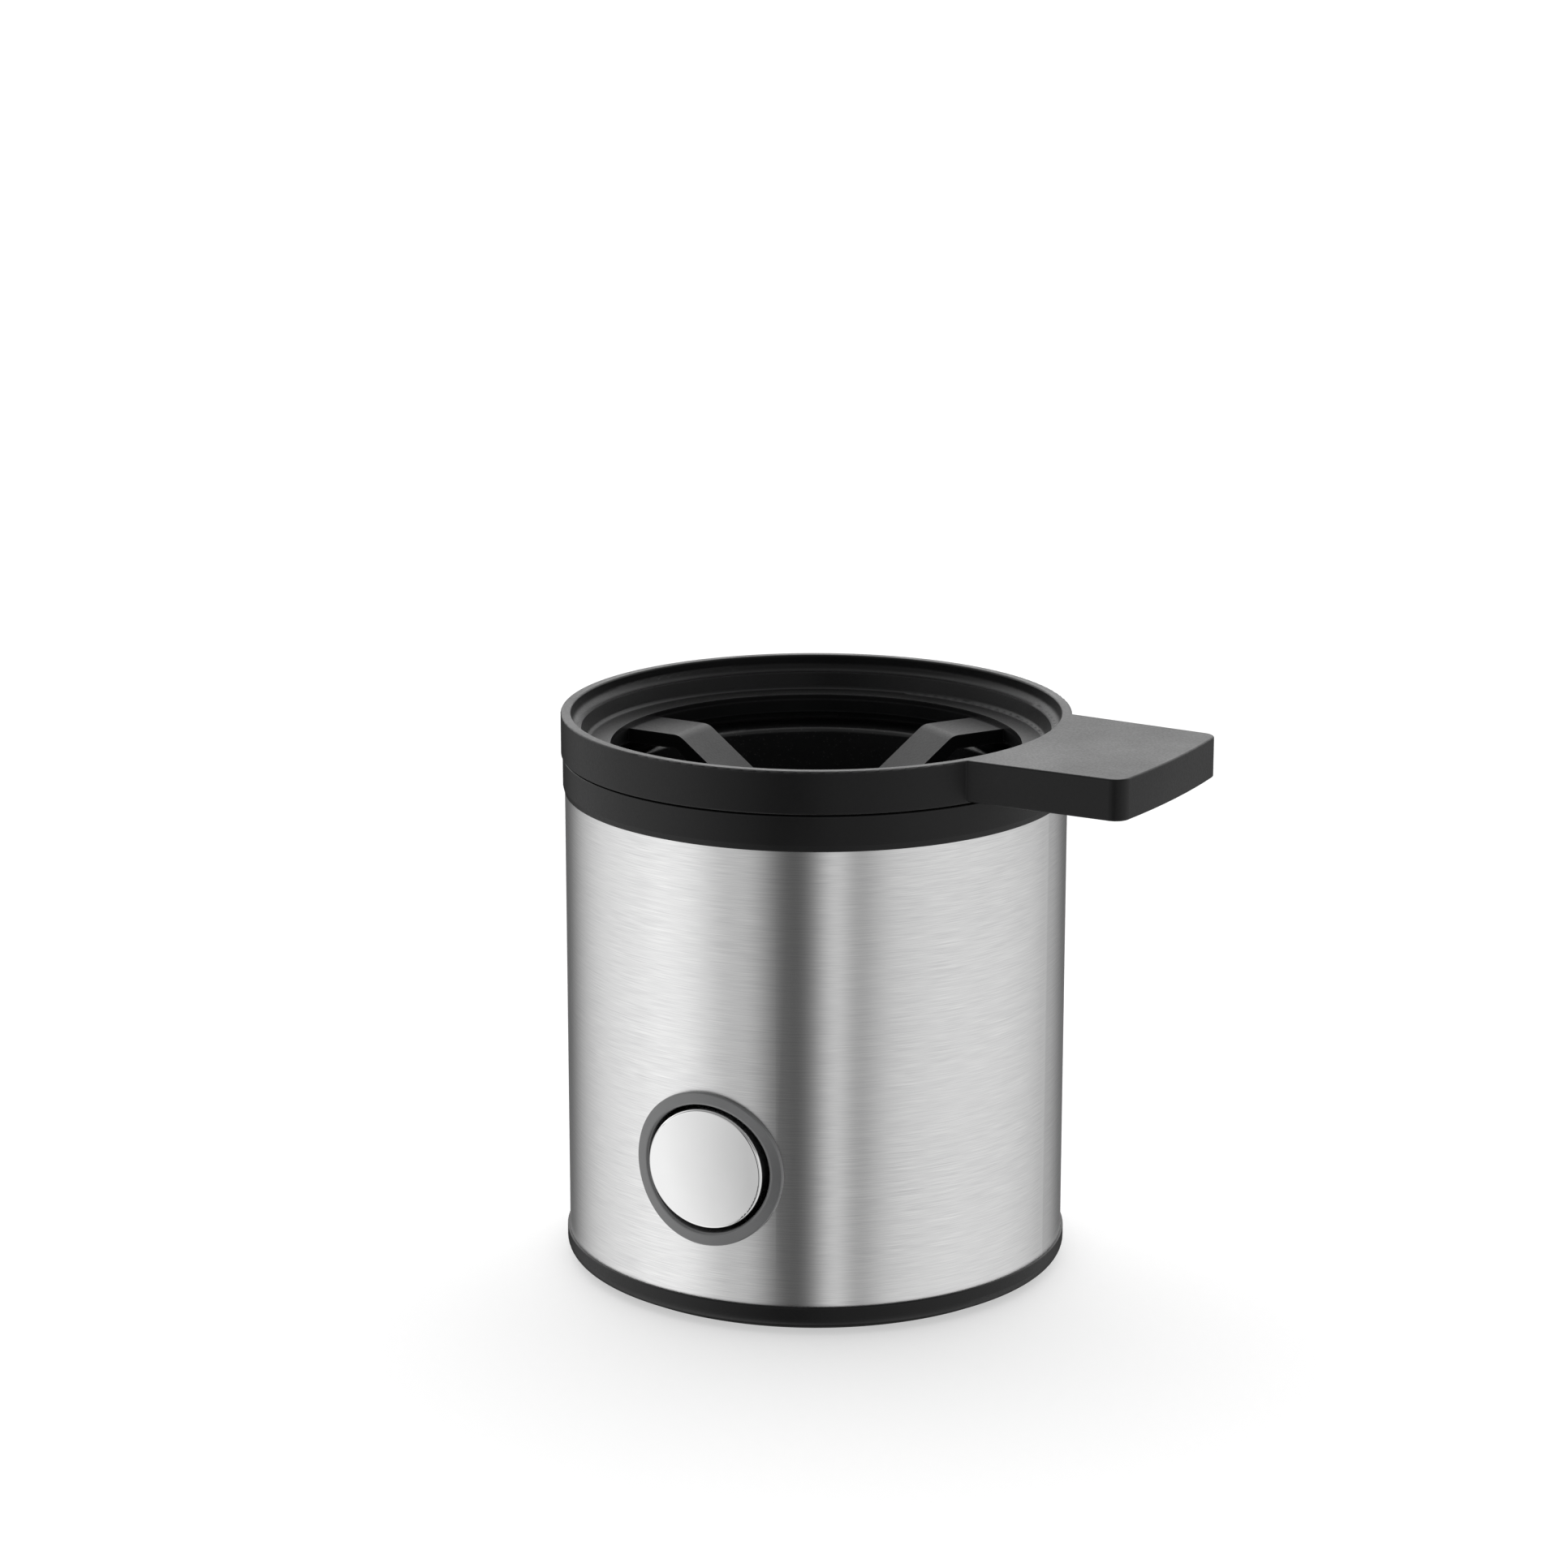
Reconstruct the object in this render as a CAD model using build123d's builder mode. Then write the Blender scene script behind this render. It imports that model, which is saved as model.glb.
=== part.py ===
from build123d import *
import os
from math import cos, radians, sin

os.makedirs("parts", exist_ok=True)

# One-egg electric cooker. Millimetres, +Z up. The origin is on the table, on the axis of the
# round body. The push button faces -Y, the cord gland is at +Y, and the carrier's handle
# points roughly along +X.

# ---- driving dimensions: body ------------------------------------------------------------
sleeve_r = 33.0              # outside radius of the steel sleeve
sleeve_wall = 0.6
sleeve_bottom = 3.7
sleeve_top = 63.9
fit_gap = 0.1                # radial gap of the plastic spigots inside the sleeve
pan_r = 33.35
pan_bottom = 0.7             # the rubber ring stands this far proud of the pan
pan_floor = 2.7
pan_edge_r = 1.5
spigot_wall = 1.5
pan_spigot_top = 9.0
foot_r_in = 28.4
foot_r_out = 31.2
foot_groove = 0.8

# ---- driving dimensions: collar and carrier ----------------------------------------------
collar_r = 33.25
collar_top = 68.75
collar_bore_r = 30.3
ledge_top = 64.0
ledge_bottom = 62.0
ledge_r = 26.6
collar_spigot_bottom = 59.0
ring_r = 33.45
rim_top = 74.3
rim_bore_r = 32.1            # the hood stands inside this
rim_bore_bottom = 73.2
shelf_z = 72.1
shelf_r = 30.8
floor_z = 69.9
floor_r = 27.0
tray_top = 69.2
skirt_r = 30.0
skirt_wall = 1.1
skirt_bottom = 66.2

# ---- driving dimensions: handle ----------------------------------------------------------
handle_angle = -5.0
handle_reach = 52.0
handle_half_root = 14.6
handle_half_tip = 13.9
handle_bottom = 68.95
handle_tip_bow = 0.75        # how far the tip bows out between its corners

# ---- driving dimensions: egg tray --------------------------------------------------------
arm_angles = [55.0, 175.0, -65.0]
arm_half = 3.75
arm_thick = 1.9
hub_r_in = 6.5
hub_r_out = 11.2
hub_top = 63.1
hub_bottom = 61.0

# ---- driving dimensions: heater ----------------------------------------------------------
dish_r_in = 25.5
dish_wall = 0.8
dish_floor = 53.0
dish_flange_r = 30.1
dish_flange_top = 65.6
plate_r = 22.0
plate_bottom = 48.2
element_ring_r = 15.5
element_r = 3.2
element_z = 47.6
element_gap = 76.0           # open angle of the heater ring, at the back
element_end_z = 39.5
stud_x = 10.3
stud_r = 1.5
strap_z = 42.0
strap_thick = 1.2
strap_reach = 28.8

# ---- driving dimensions: push button -----------------------------------------------------
button_z = 21.3
bezel_r = 10.25
bezel_bore_r = 8.5
bezel_tube_r = 9.1
bezel_proud = 0.55
bezel_back = -26.0
cap_r = 8.0
cap_front = -33.45
cap_back = -28.5
cap_wall = 1.1
stem_r = 3.0
stem_gap = 0.05              # radial running gap of the stem and of the switch plunger
stem_back = -17.6
housing_r = 10.8
housing_back = -19.0
plunger_r = 1.9

# ---- driving dimensions: chassis and wiring ----------------------------------------------
leg_angles = [45.0, 135.0, 225.0, 315.0]
leg_r_in = 26.8
leg_r_out = 31.2
leg_half = 4.0
lug_r = 24.5                 # the base screws stand on this radius
gland_z = 15.0
cord_r = 3.2
wire_r = 1.1
block_y = 11.5

# ---- driving dimensions: small fittings --------------------------------------------------
small_round = 0.15
seam_gap = 0.22              # shadow line between the carrier and the collar
seam_depth = 0.7
hole_gap = 0.2               # room round a part that passes through a hole
hole_reach = 15.0            # depth of the cuts through the sleeve's wall
pilot_floor = 1.0            # solid left under a pilot hole
head_round = 0.5
skin_gap = 0.02              # plastic parts lie this close to the sleeve's outside
thread_gap = 0.05
screw_r = 1.5
screw_head_r = 2.8
small_screw_r = 1.1
base_screw_seat = 4.7
base_screw_length = 9.5
screw_head_height = 1.8
screw_room = 0.3
cross_length = 2.6
cross_width = 0.6
cross_depth = 1.0
driver_length = 2.3
driver_width = 0.5
small_head_r = 2.3
small_head_height = 1.4
driver_floor = 0.6
housing_screw_length = 5.2
clamp_screw_length = 8.5
thick_bend_r = 2.3
thin_bend_r = 1.4
post_r = 3.7
collar_taper = 0.2           # the band's lower edge leans in over the sleeve
collar_taper_height = 0.8
collar_screw_at = 29.0
collar_head_r = 2.0
collar_head_seat = 62.9
collar_head_height = 1.0
collar_screw_tip = 56.0
collar_hole_floor = 54.0
collar_spigot_wall = 0.9
seal_r_in = 26.8
seal_r_out = 30.0
dish_corner_r = 2.5
dish_lip_r = 0.7
frame_ring_bottom = 58.5
frame_ring_r = 27.2
leg_stock = 5.4
frame_lug_height = 7.0
frame_pilot_depth = 6.0
groove_gap = 0.05
element_bend_r = 5.0
bead_height = 2.0
bead_r = 2.7
blade_thick = 0.8
wide_blade = 6.3
narrow_blade = 4.8
blade_length = 6.5
stud_bottom = 38.5
strap_half = 5.0
strap_eye_r = 12.7
strap_hole_r = 8.4
strap_bend_r = 1.0
washer_r = 3.1
nut_height = 2.4
tag_thick = 0.6
tag_width = 4.0
tag_x = 18.0
tag_end_z = 37.0
thermostat_r = 8.0
thermostat_low_r = 6.9       # the lower half passes between the two nuts
thermostat_bottom = 40.5
thermostat_blade_x = 4.5
ear_length = 22.0
ear_width = 6.0
ear_thick = 0.8
fuse_x = 20.0
fuse_z = 39.5
fuse_r = 2.0
fuse_half = 6.0
fuse_round = 0.5
fuse_clip_half = 1.5
fuse_clip_wall = 0.4
tab_x = 11.5
tab_y = -24.0
tab_r = 2.9
tab_bottom = 7.0
tab_thick = 2.2
tab_post_r = 2.8
saddle_width = 10.0
saddle_depth = 3.0
clamp_post_r = 2.6
pedestal_front = -25.0
pedestal_half = 8.0
pedestal_height = 12.0
tab_web = 4.8
tab_web_shift = 0.5
cup_wall = 1.5
guide_r = 4.6
back_wall = 2.0
guide_length = 3.0
lamp_up = 8.0
lamp_r = 1.1
lamp_round = 0.6
bezel_stock = -36.0          # where the bezel's stock starts, in front of the sleeve
bezel_stock_depth = 8.0
bezel_lip_r = 0.42
bezel_edge_r = 0.2
cap_dome = 0.4
cap_inside = -32.2
cap_edge_r = 0.45
stem_head = 1.5
stem_groove = 0.5
clip_r = 4.6
clip_mouth = 8.0
clip_squeeze = 0.6
clip_front = -18.8
clip_thick = 0.8
spring_r = 5.4
spring_wire_r = 0.3
spring_pitch = 1.8
spring_turns = 4.8
spring_start = -30.2
switch_half = 6.5
switch_front = -15.0
switch_back = -3.0
switch_blade_x = 3.2
switch_chamfer = 0.5
plunger_hole = 6.5
shelf_rail = 1.0
shelf_leg = 2.0
stop_wall = 0.9
stop_gap = 0.1
stop_length = 8.0
stop_height = 8.0
stop_back = 6.0
plunger_length = 6.6
shelf_top = 14.3
shelf_thick = 2.5
block_half = 4.5
block_height = 10.0
way_pitch = 8.0
way_z = 7.0
way_r = 1.5
way_screw_hole = 1.6
way_screw_r = 1.5
way_screw_low = 1.8
way_screw_length = 4.2
way_slot_z = 12.2
block_length = 26.0
block_chamfer = 0.8
gland_r = 5.6
gland_neck_r = 4.8
gland_inner = 28.5
gland_outer = 35.2
gland_round = 0.8
gland_neck_back = 1.0
lip_overlap = 0.05
clamp_y = 24.0
clamp_x = 7.8
clamp_bottom = 18.3
clamp_thick = 2.2
clamp_length = 21.0
clamp_width = 5.0
handle_corner_r = 2.0
handle_root_r = 0.3
edge_round = 0.25
tray_bottom = 67.5
lug_height = 1.0
lug_depth = 1.2
lug_width = 6.0
lug_sink = 0.2
knee_r = 18.8
knee_round = 2.5
tray_gap = 0.15
arm_root_r = 27.8
hub_overlap = 0.6
hub_flat = 1.6
hub_slope = 1.1
blade_root_x = 28.0
rim_curve_r = 1.1
shelf_run_in = 1.0

tab_spots = [(tab_x, tab_y), (-tab_x, tab_y)]
clamp_spots = [(clamp_x, clamp_y), (-clamp_x, clamp_y)]
sleeve_bore = sleeve_r - sleeve_wall
spigot_r = sleeve_bore - fit_gap
dish_r_out = dish_r_in + dish_wall
dish_bottom = dish_floor - dish_wall


def save(piece, name):
    """Label one finished piece and write it as its own STEP file."""
    piece.label = name
    export_step(piece, "parts/" + name + ".step")


def axial(y, z=0.0, x=0.0):
    """A plane at depth y whose normal runs inward, along +Y, with local Y down."""
    return Plane(origin=(x, y, z), x_dir=(1, 0, 0), z_dir=(0, 1, 0))


def ring_solid(r_in, r_out, z_low, z_high):
    """An upright tube round the body's axis, or a solid disc where r_in is 0."""
    with BuildPart() as tube:
        with BuildSketch(Plane.XY.offset(z_low)):
            Circle(r_out)
            if r_in > 0:
                Circle(r_in, mode=Mode.SUBTRACT)
        extrude(amount=z_high - z_low)
    return tube.part


def blade(x, y, z, width, depth, height):
    """A flat terminal blade, from its centre and full sizes."""
    with BuildPart(Plane(origin=(x, y, z))) as tab:
        Box(width, depth, height)
    return tab.part


def wire(points, bend_r):
    """An insulated wire of round section along straight runs joined by tangent arcs."""
    with BuildPart() as strand:
        with BuildLine() as route:
            FilletPolyline(*points, radius=bend_r)
        start = Plane(origin=route.line @ 0, z_dir=route.line % 0)
        with BuildSketch(start):
            Circle(wire_r)
        sweep(path=route.line)
    return strand.part


# ---- base pan: floor, spigot inside the sleeve, posts for the screws, cord saddle ----------
with BuildPart() as base_pan:
    with BuildSketch(Plane.XZ):
        with BuildLine():
            Polyline((0, pan_bottom), (pan_r, pan_bottom), (pan_r, sleeve_bottom),
                     (spigot_r, sleeve_bottom), (spigot_r, pan_spigot_top),
                     (spigot_r - spigot_wall, pan_spigot_top),
                     (spigot_r - spigot_wall, pan_floor), (0, pan_floor), (0, pan_bottom))
        make_face()
    revolve(axis=Axis.Z)
    fillet(base_pan.edges().filter_by(GeomType.CIRCLE).group_by(Axis.Z)[0], pan_edge_r)
    outer_edges = base_pan.edges().filter_by(lambda e: e.geom_type == GeomType.CIRCLE
                                             and abs(e.radius - pan_r) < 0.01)
    fillet(outer_edges.sort_by(Axis.Z)[-1], small_round)
    with BuildSketch(Plane.XY.offset(pan_bottom)):
        Circle(foot_r_out)
        Circle(foot_r_in, mode=Mode.SUBTRACT)
    extrude(amount=foot_groove, mode=Mode.SUBTRACT)
    with BuildSketch(Plane.XY.offset(pan_floor)):
        with PolarLocations(lug_r, len(leg_angles), leg_angles[0]):
            Circle(post_r)
    extrude(amount=pan_spigot_top - pan_floor)
    with BuildSketch(Plane.XY.offset(pan_floor)):
        with Locations(*tab_spots):
            Circle(tab_post_r)
    extrude(amount=tab_bottom - pan_floor)
    with BuildSketch(Plane.XY.offset(pan_floor)):
        with Locations(*clamp_spots):
            Circle(clamp_post_r)
    extrude(amount=clamp_bottom - pan_floor)
    with BuildSketch(Plane.XY.offset(pan_floor)):
        with Locations((0, clamp_y)):
            Rectangle(saddle_width, saddle_depth)
    extrude(amount=gland_z - cord_r - pan_floor)
    with BuildSketch(Plane.XY.offset(pan_bottom)):
        with PolarLocations(lug_r, len(leg_angles), leg_angles[0]):
            Circle(screw_head_r + screw_room)
    extrude(amount=base_screw_seat - pan_bottom, mode=Mode.SUBTRACT)
    with BuildSketch(Plane.XY.offset(pan_bottom)):
        with PolarLocations(lug_r, len(leg_angles), leg_angles[0]):
            Circle(screw_r + screw_room)
    extrude(amount=pan_spigot_top, mode=Mode.SUBTRACT)
    with BuildSketch(Plane.XY.offset(pan_floor + pilot_floor)):
        with Locations(*tab_spots, *clamp_spots):
            Circle(small_screw_r + thread_gap)
    extrude(amount=clamp_bottom, mode=Mode.SUBTRACT)
save(base_pan.part, "base_pan")

# ---- rubber foot ring, pressed into the groove under the pan -------------------------------
with BuildPart() as foot_ring:
    add(ring_solid(foot_r_in + fit_gap, foot_r_out - fit_gap, 0, pan_bottom + foot_groove))
    fillet(foot_ring.edges().group_by(Axis.Z)[0], edge_round)
save(foot_ring.part, "foot_ring")

# ---- base screws, up through the pan into the lugs of the inner frame ----------------------
with BuildPart() as base_screws:
    with BuildSketch(Plane.XY.offset(base_screw_seat - screw_head_height)):
        with PolarLocations(lug_r, len(leg_angles), leg_angles[0]):
            Circle(screw_head_r)
    extrude(amount=screw_head_height)
    fillet(base_screws.edges().group_by(Axis.Z)[0], head_round)
    with BuildSketch(Plane.XY.offset(base_screw_seat - screw_head_height)):
        with PolarLocations(lug_r, len(leg_angles), leg_angles[0]):
            Rectangle(cross_length, cross_width)
            Rectangle(cross_width, cross_length)
    extrude(amount=cross_depth, mode=Mode.SUBTRACT)
    with BuildSketch(Plane.XY.offset(base_screw_seat)):
        with PolarLocations(lug_r, len(leg_angles), leg_angles[0]):
            Circle(screw_r)
    extrude(amount=base_screw_length)
save(base_screws.part, "base_screws")

# ---- brushed steel sleeve with the button hole in front and the cord hole behind -----------
with BuildPart() as steel_sleeve:
    add(ring_solid(sleeve_bore, sleeve_r, sleeve_bottom, sleeve_top))
    with BuildSketch(axial(-sleeve_r - hole_reach / 2, button_z)):
        Circle(bezel_tube_r + hole_gap)
    extrude(amount=hole_reach, mode=Mode.SUBTRACT)
    with BuildSketch(axial(sleeve_r - hole_reach / 2, gland_z)):
        Circle(gland_neck_r + hole_gap)
    extrude(amount=hole_reach, mode=Mode.SUBTRACT)
save(steel_sleeve.part, "steel_sleeve")

# ---- top collar: visible band, spigot inside the sleeve, ledge under the dish --------------
with BuildPart() as top_collar:
    with BuildSketch(Plane.XZ):
        with BuildLine():
            Polyline((collar_r - collar_taper, sleeve_top), (collar_r, sleeve_top + collar_taper_height),
                     (collar_r, collar_top - seam_gap), (collar_r - seam_depth, collar_top - seam_gap),
                     (collar_r - seam_depth, collar_top), (collar_bore_r, collar_top),
                     (collar_bore_r, ledge_top), (ledge_r, ledge_top), (ledge_r, ledge_bottom),
                     (spigot_r - collar_spigot_wall, ledge_bottom),
                     (spigot_r - collar_spigot_wall, collar_spigot_bottom),
                     (spigot_r, collar_spigot_bottom), (spigot_r, sleeve_top),
                     (collar_r - collar_taper, sleeve_top))
        make_face()
    revolve(axis=Axis.Z)
    band_edges = top_collar.edges().filter_by(lambda e: e.geom_type == GeomType.CIRCLE
                                              and abs(e.radius - collar_r) < 0.01)
    fillet(band_edges.sort_by(Axis.Z)[-1], small_round)
    with BuildSketch(Plane.XY.offset(ledge_bottom)):
        with PolarLocations(collar_screw_at, len(leg_angles), leg_angles[0]):
            Circle(small_screw_r + hole_gap)
    extrude(amount=ledge_top - ledge_bottom, mode=Mode.SUBTRACT)
    with BuildSketch(Plane.XY.offset(collar_head_seat)):
        with PolarLocations(collar_screw_at, len(leg_angles), leg_angles[0]):
            Circle(collar_head_r + fit_gap)
    extrude(amount=ledge_top - collar_head_seat, mode=Mode.SUBTRACT)
save(top_collar.part, "top_collar")

# ---- inner frame: a ring on four legs that ties the collar to the pan ----------------------
with BuildPart() as inner_frame:
    with BuildSketch(Plane.XY.offset(frame_ring_bottom)):
        Circle(leg_r_out)
        Circle(frame_ring_r, mode=Mode.SUBTRACT)
    extrude(amount=ledge_bottom - frame_ring_bottom)
    with BuildSketch(Plane.XY.offset(pan_spigot_top)):
        with PolarLocations((leg_r_in + leg_r_out) / 2, len(leg_angles), leg_angles[0]):
            Rectangle(leg_stock, 2 * leg_half)
        Circle(leg_r_out, mode=Mode.INTERSECT)
        Circle(leg_r_in, mode=Mode.SUBTRACT)
    extrude(amount=ledge_bottom - pan_spigot_top)
    with BuildSketch(Plane.XY.offset(pan_spigot_top)):
        with PolarLocations(lug_r, len(leg_angles), leg_angles[0]):
            Circle(post_r)
    extrude(amount=frame_lug_height)
    with BuildSketch(Plane.XY.offset(pan_spigot_top)):
        with PolarLocations(lug_r, len(leg_angles), leg_angles[0]):
            Circle(screw_r + thread_gap)
    extrude(amount=frame_pilot_depth, mode=Mode.SUBTRACT)
    with BuildSketch(Plane.XY.offset(collar_hole_floor)):
        with PolarLocations(collar_screw_at, len(leg_angles), leg_angles[0]):
            Circle(small_screw_r + thread_gap)
    extrude(amount=ledge_bottom - collar_hole_floor, mode=Mode.SUBTRACT)
save(inner_frame.part, "inner_frame")

# ---- collar screws, flush in the ledge under the seal --------------------------------------
with BuildPart() as collar_screws:
    with BuildSketch(Plane.XY.offset(collar_screw_tip)):
        with PolarLocations(collar_screw_at, len(leg_angles), leg_angles[0]):
            Circle(small_screw_r)
    extrude(amount=collar_head_seat - collar_screw_tip)
    with BuildSketch(Plane.XY.offset(collar_head_seat)):
        with PolarLocations(collar_screw_at, len(leg_angles), leg_angles[0]):
            Circle(collar_head_r)
            Rectangle(driver_length, driver_width, mode=Mode.SUBTRACT)
            Rectangle(driver_width, driver_length, mode=Mode.SUBTRACT)
    extrude(amount=collar_head_height)
save(collar_screws.part, "collar_screws")

# ---- silicone seal between the collar's ledge and the dish ---------------------------------
dish_seal = ring_solid(seal_r_in, seal_r_out, ledge_top, dish_flange_top - dish_wall)
save(dish_seal, "dish_seal")

# ---- water dish: a deep drawn cup with a flat flange ---------------------------------------
with BuildPart() as heater_dish:
    with BuildSketch(Plane.XZ) as dish_profile:
        with BuildLine():
            Polyline((0, dish_bottom), (dish_r_out, dish_bottom),
                     (dish_r_out, dish_flange_top - dish_wall),
                     (dish_flange_r, dish_flange_top - dish_wall),
                     (dish_flange_r, dish_flange_top), (dish_r_in, dish_flange_top),
                     (dish_r_in, dish_floor), (0, dish_floor), (0, dish_bottom))
        make_face()
        inside_corner = dish_profile.vertices().sort_by_distance((dish_r_in, dish_floor, 0))[0]
        fillet(inside_corner, dish_corner_r)
        outside_corner = dish_profile.vertices().sort_by_distance((dish_r_out, dish_bottom, 0))[0]
        fillet(outside_corner, dish_corner_r + dish_wall)
        lip = dish_profile.vertices().sort_by_distance((dish_r_in, dish_flange_top, 0))[0]
        fillet(lip, dish_lip_r)
    revolve(axis=Axis.Z)
save(heater_dish.part, "heater_dish")

# ---- aluminium plate that spreads the heat under the dish ----------------------------------
with BuildPart() as heat_plate:
    add(ring_solid(0, plate_r, plate_bottom, dish_bottom))
    with BuildSketch(Plane.XZ):
        with Locations((element_ring_r, element_z)):
            Circle(element_r + groove_gap)
    revolve(axis=Axis.Z, mode=Mode.SUBTRACT)
    with BuildSketch(Plane.XY.offset(plate_bottom)):
        with Locations((stud_x, 0), (-stud_x, 0)):
            Circle(stud_r + fit_gap)
    extrude(amount=dish_bottom - plate_bottom, mode=Mode.SUBTRACT)
save(heat_plate.part, "heat_plate")

# ---- tubular heating element: an open ring whose two ends turn down ------------------------
ring_start = 90 + element_gap / 2
ring_sweep = 360 - element_gap
start_x = element_ring_r * cos(radians(ring_start))
start_y = element_ring_r * sin(radians(ring_start))
end_x = start_x + element_bend_r * sin(radians(ring_start))
end_y = start_y - element_bend_r * cos(radians(ring_start))
bend_z = element_z - element_bend_r
with BuildPart() as heating_element:
    with BuildLine() as element_path:
        rise = Line((end_x, end_y, element_end_z), (end_x, end_y, bend_z))
        TangentArc(rise @ 1, (start_x, start_y, element_z), tangent=rise % 1)
        ring = CenterArc((0, 0, element_z), element_ring_r, ring_start, ring_sweep)
        TangentArc(ring @ 1, (-end_x, end_y, bend_z), tangent=ring % 1)
        Line((-end_x, end_y, bend_z), (-end_x, end_y, element_end_z))
    with BuildSketch(Plane.XY.offset(element_end_z)):
        with Locations((end_x, end_y)):
            Circle(element_r)
    sweep(path=element_path.line)
save(heating_element.part, "heating_element")

# ---- ceramic beads and flat terminals on the element's two ends ----------------------------
with BuildPart() as element_beads:
    with BuildSketch(Plane.XY.offset(element_end_z - bead_height)):
        with Locations((end_x, end_y), (-end_x, end_y)):
            Circle(bead_r)
    extrude(amount=bead_height)
save(element_beads.part, "element_beads")

blade_top = element_end_z - bead_height
element_blades = [blade(side * end_x, end_y, blade_top - blade_length / 2, blade_thick, wide_blade,
                        blade_length)
                  for side in (1, -1)]
save(Compound(children=element_blades), "element_terminals")

# ---- welded studs, clamp strap, washer and nuts that pull the dish down on its seal --------
with BuildPart() as dish_studs:
    with BuildSketch(Plane.XY.offset(stud_bottom)):
        with Locations((stud_x, 0), (-stud_x, 0)):
            Circle(stud_r)
    extrude(amount=dish_bottom - stud_bottom)
save(dish_studs.part, "dish_studs")

with BuildPart() as clamp_strap:
    with BuildSketch(Plane.XY.offset(strap_z)):
        Rectangle(2 * strap_reach, 2 * strap_half)
        Circle(strap_eye_r)
        Circle(strap_hole_r, mode=Mode.SUBTRACT)
        with Locations((stud_x, 0), (-stud_x, 0)):
            Circle(stud_r + fit_gap, mode=Mode.SUBTRACT)
    extrude(amount=strap_thick)
    with BuildSketch(Plane.XY.offset(strap_z)):
        with Locations((strap_reach - strap_thick / 2, 0), (-strap_reach + strap_thick / 2, 0)):
            Rectangle(strap_thick, 2 * strap_half)
    extrude(amount=frame_ring_bottom - strap_z)
    bend_edges = clamp_strap.edges().filter_by(Axis.Y).group_by(Axis.Z)[0]
    fillet(bend_edges, strap_bend_r)
save(clamp_strap.part, "clamp_strap")

strap_washer = ring_solid(stud_r + thread_gap, washer_r, strap_z - tag_thick, strap_z)
save(strap_washer.moved(Location((stud_x, 0, 0))), "strap_washer")

with BuildPart() as strap_nuts:
    with BuildSketch(Plane.XY.offset(strap_z - tag_thick - nut_height)):
        with Locations((stud_x, 0), (-stud_x, 0)):
            RegularPolygon(washer_r, 6)
            Circle(stud_r + thread_gap, mode=Mode.SUBTRACT)
    extrude(amount=nut_height)
save(strap_nuts.part, "strap_nuts")

with BuildPart() as earth_tag:
    with BuildSketch(Plane.XY.offset(strap_z - tag_thick)):
        with Locations((-stud_x, 0)):
            Circle(washer_r)
        with Locations((-(stud_x + tag_x) / 2, 0)):
            Rectangle(tag_x - stud_x, tag_width)
        with Locations((-stud_x, 0)):
            Circle(stud_r + thread_gap, mode=Mode.SUBTRACT)
    extrude(amount=tag_thick)
    with BuildSketch(Plane.XY.offset(tag_end_z)):
        with Locations((-tag_x + tag_thick / 2, 0)):
            Rectangle(tag_thick, tag_width)
    extrude(amount=strap_z - tag_end_z)
save(earth_tag.part, "earth_tag")

# ---- thermostat against the plate, and the thermal fuse in its clip ------------------------
with BuildPart() as thermostat_body:
    with BuildSketch(Plane.XY.offset(thermostat_bottom)):
        Circle(thermostat_low_r)
    extrude(amount=plate_bottom - thermostat_bottom)
    with BuildSketch(Plane.XY.offset(strap_z + hole_gap)):
        Circle(thermostat_r)
    extrude(amount=plate_bottom - strap_z - hole_gap)
    with BuildSketch(Plane.XY.offset(strap_z + strap_thick)):
        SlotOverall(ear_length, ear_width, rotation=90)
    extrude(amount=ear_thick)
save(thermostat_body.part, "thermostat_body")

thermostat_blades = [blade(side * thermostat_blade_x, 0, thermostat_bottom - blade_length / 2,
                           blade_thick, wide_blade, blade_length) for side in (1, -1)]
save(Compound(children=thermostat_blades), "thermostat_terminals")

with BuildPart() as thermal_fuse:
    with BuildSketch(axial(-fuse_half, fuse_z, fuse_x)):
        Circle(fuse_r)
    extrude(amount=2 * fuse_half)
    fillet(thermal_fuse.edges(), fuse_round)
save(thermal_fuse.part, "thermal_fuse")

with BuildPart() as fuse_clip:
    with BuildSketch(axial(-fuse_clip_half, fuse_z, fuse_x)):
        Circle(fuse_r + thread_gap + fuse_clip_wall)
        Circle(fuse_r + thread_gap, mode=Mode.SUBTRACT)
    extrude(amount=2 * fuse_clip_half)
save(fuse_clip.part, "fuse_clip")

# ---- button bezel: a smoky light ring that lies on the sleeve, with a tube behind it -------
with BuildPart() as bezel_tube:
    with BuildSketch(axial(bezel_stock, button_z)):
        Circle(bezel_tube_r)
        Circle(bezel_bore_r, mode=Mode.SUBTRACT)
    extrude(amount=bezel_back - bezel_stock)
    add(ring_solid(0, sleeve_r + bezel_proud / 2, 0, rim_top), mode=Mode.INTERSECT)

with BuildPart() as button_bezel:
    with BuildSketch(axial(bezel_stock, button_z)):
        Circle(bezel_r)
        Circle(bezel_bore_r, mode=Mode.SUBTRACT)
    extrude(amount=bezel_stock_depth)
    add(ring_solid(sleeve_r + skin_gap, sleeve_r + bezel_proud, 0, rim_top), mode=Mode.INTERSECT)
    add(bezel_tube.part)
    front = button_bezel.faces().sort_by(Axis.Y)[0]
    fillet(front.inner_wires()[0].edges(), bezel_lip_r)
    front = button_bezel.faces().sort_by(Axis.Y)[0]
    fillet(front.outer_wire().edges(), bezel_edge_r)
save(button_bezel.part, "button_bezel")

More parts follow.
